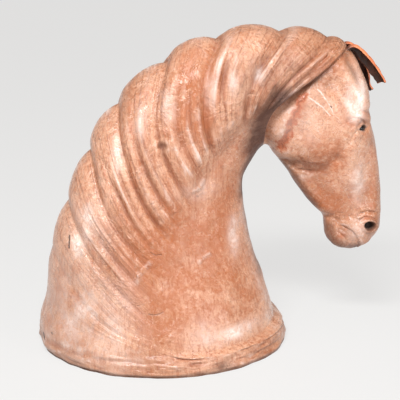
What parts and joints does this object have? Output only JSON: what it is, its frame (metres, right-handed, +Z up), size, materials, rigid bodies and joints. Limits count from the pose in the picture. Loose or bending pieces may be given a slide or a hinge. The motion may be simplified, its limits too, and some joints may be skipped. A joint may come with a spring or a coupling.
{
  "type": "horse head sculpture",
  "caption": "Bust of a horse's head on a wide arched neck, with a swept mane in thick locks, leather ears and glass eyes, standing on a flat underside with a rolled rim.",
  "frame": {"origin": "on the flat underside, under the middle of the foot", "axes": "+X the way the horse faces, +Z up, +Y to the horse's left"},
  "size_m": [0.6423, 0.4198, 0.5775],
  "materials": {
    "skin_leather": "old tan leather, mottled and creased, with a soft waxed sheen",
    "ear_leather": "orange tan outside, nearly black inside",
    "eye_glass": "dark brown glass, polished"
  },
  "bodies": {
    "root": {"head_and_neck": "skin_leather", "ear_right": "ear_leather", "ear_left": "ear_leather", "eye_right": "eye_glass", "eye_left": "eye_glass"}
  },
  "joints": []
}
